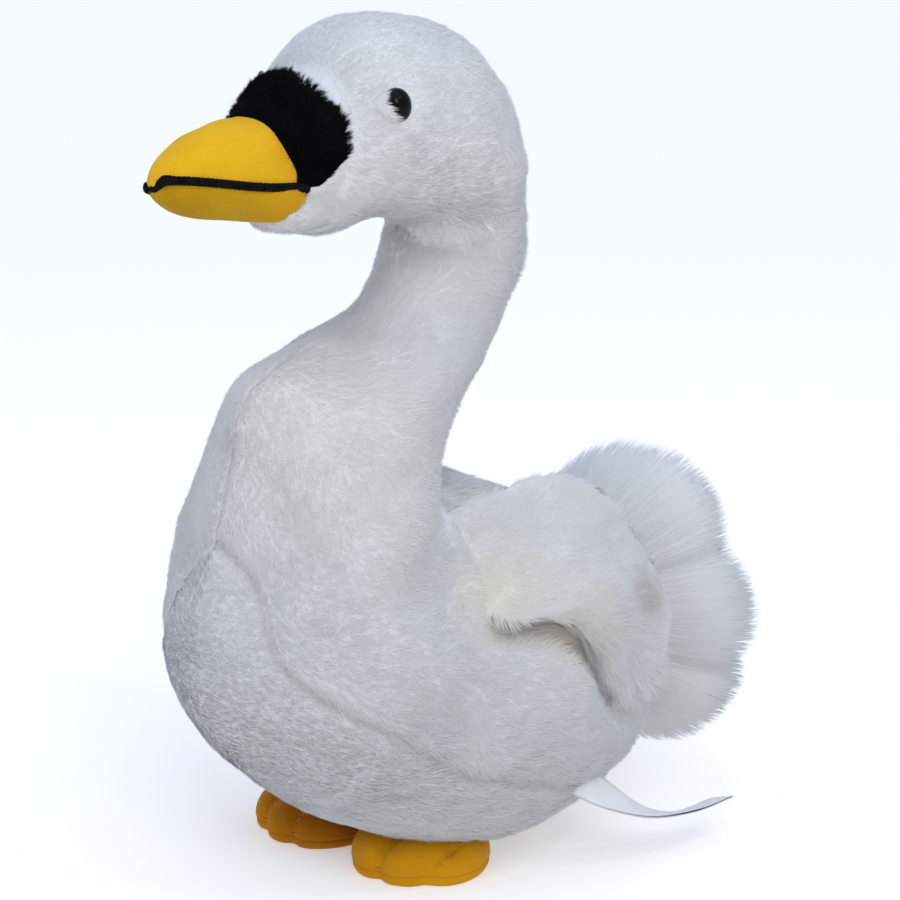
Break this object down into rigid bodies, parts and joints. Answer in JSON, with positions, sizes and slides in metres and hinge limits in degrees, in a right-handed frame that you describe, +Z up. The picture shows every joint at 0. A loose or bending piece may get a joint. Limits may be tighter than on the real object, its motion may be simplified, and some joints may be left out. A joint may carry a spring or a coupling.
{
  "type": "plush toy swan",
  "caption": "Sitting plush toy swan with an S-shaped neck, yellow beak, black face patch, padded wings, a fluffy fan tail and orange feet.",
  "frame": {"origin": "middle of the bounding box, on the surface that the toy sits on", "axes": "+Z up, -Y the way the swan faces, +X its left side"},
  "size_m": [0.152, 0.2416, 0.2877],
  "materials": {
    "white_plush": "short white pile plush, brushed backwards",
    "tail_plush": "long white pile",
    "black_plush": "black plush, slightly shaggy",
    "beak_velour": "bright yellow knitted velour",
    "foot_velour": "orange yellow velour",
    "thread": "black embroidery thread",
    "eye_plastic": "polished black plastic",
    "ribbon": "white woven satin ribbon"
  },
  "bodies": {
    "root": {"trunk": "white_plush", "neck": "white_plush", "head": "white_plush", "mask": "black_plush", "beak_upper": "beak_velour", "beak_lower": "beak_velour", "mouth_line": "thread", "eye_left": "eye_plastic", "eye_right": "eye_plastic", "wing_left": "white_plush", "wing_right": "white_plush", "tail": "tail_plush", "foot_left": "foot_velour", "foot_right": "foot_velour", "label": "ribbon"}
  },
  "joints": []
}
